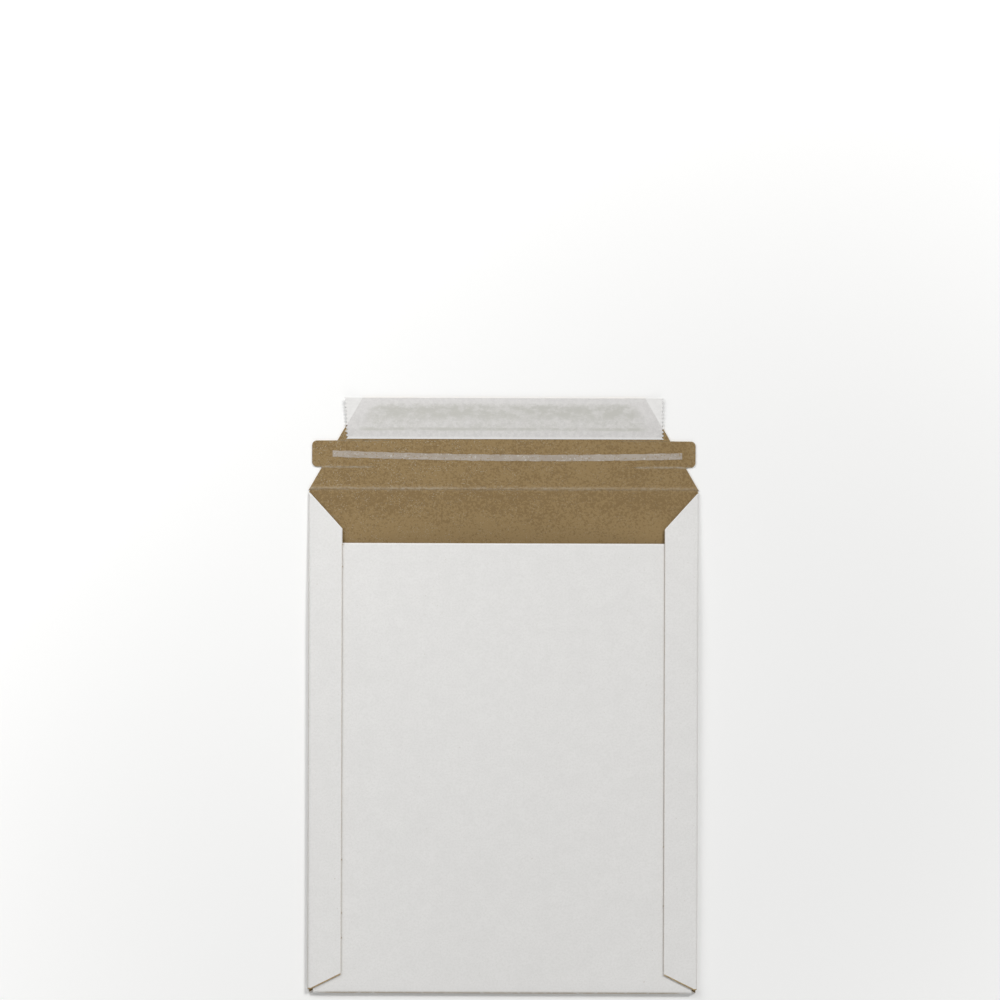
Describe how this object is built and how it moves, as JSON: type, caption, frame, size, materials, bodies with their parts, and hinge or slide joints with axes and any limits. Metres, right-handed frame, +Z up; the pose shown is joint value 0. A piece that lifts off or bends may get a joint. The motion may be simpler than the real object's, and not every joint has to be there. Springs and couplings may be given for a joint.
{
  "type": "cardboard mailer",
  "caption": "Flat self-seal board mailer, white outside and kraft inside, lying open with a tear band and a peel-off liner on its closing flap.",
  "frame": {"origin": "on the surface the mailer rests on, below the middle of its outline", "axes": "+X to the right across the mouth, +Y from the bottom fold to the closing flap, +Z up out of the front panel"},
  "size_m": [0.178, 0.272, 0.0068],
  "materials": {
    "white_lined_board": "smooth clay-coated white liner, kraft brown on the inner side and at cut edges",
    "kraft_side_of_board": "uncoated speckled kraft brown, matt",
    "seam_glue": "dried hot-melt film",
    "pressure_sensitive_adhesive": "tacky translucent film",
    "siliconised_paper": "thin, slightly translucent, satin",
    "tear_tape_film": "satin translucent film"
  },
  "bodies": {
    "pocket": {"mailer_body": "white_lined_board", "seam_glue_left": "seam_glue", "seam_glue_right": "seam_glue"},
    "flap": {"closing_flap": "kraft_side_of_board", "adhesive_strip": "pressure_sensitive_adhesive", "release_liner": "siliconised_paper", "tear_tape": "tear_tape_film"}
  },
  "joints": [
    {"name": "flap_fold", "type": "hinge", "parent": "pocket", "child": "flap", "pos_m": [0, 0.094, 0.0009], "axis": [1, 0, 0], "range_deg": [0, 163]}
  ]
}
